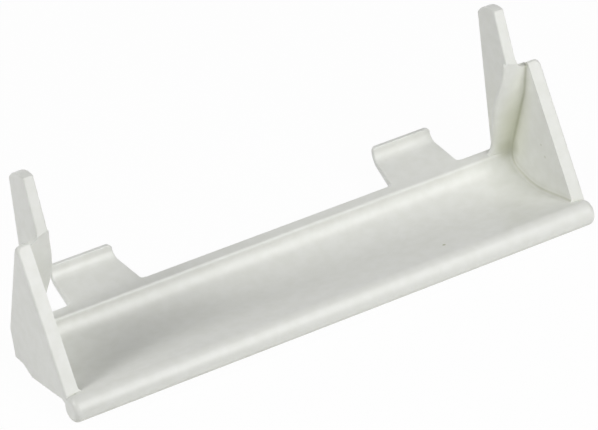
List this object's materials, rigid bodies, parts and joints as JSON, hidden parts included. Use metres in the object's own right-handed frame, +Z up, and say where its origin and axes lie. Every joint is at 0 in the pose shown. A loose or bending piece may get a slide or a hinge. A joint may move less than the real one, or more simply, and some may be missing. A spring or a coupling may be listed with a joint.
{
  "type": "dishwasher door handle",
  "caption": "Recessed pull handle for a dishwasher door: finger scoop with a round lip, end cheeks, two upright posts and two spring tabs.",
  "frame": {"origin": "centre of the bounding box in X and Y, on the surface that the handle lies on", "axes": "+X along the pull lip, +Y from the lip back to the spring tabs, +Z up as it lies, towards the post tops"},
  "size_m": [0.15, 0.0478, 0.0492],
  "materials": {
    "door_handle": "moulded off-white, semi-gloss"
  },
  "bodies": {
    "root": {"door_handle": "door_handle"}
  },
  "joints": []
}
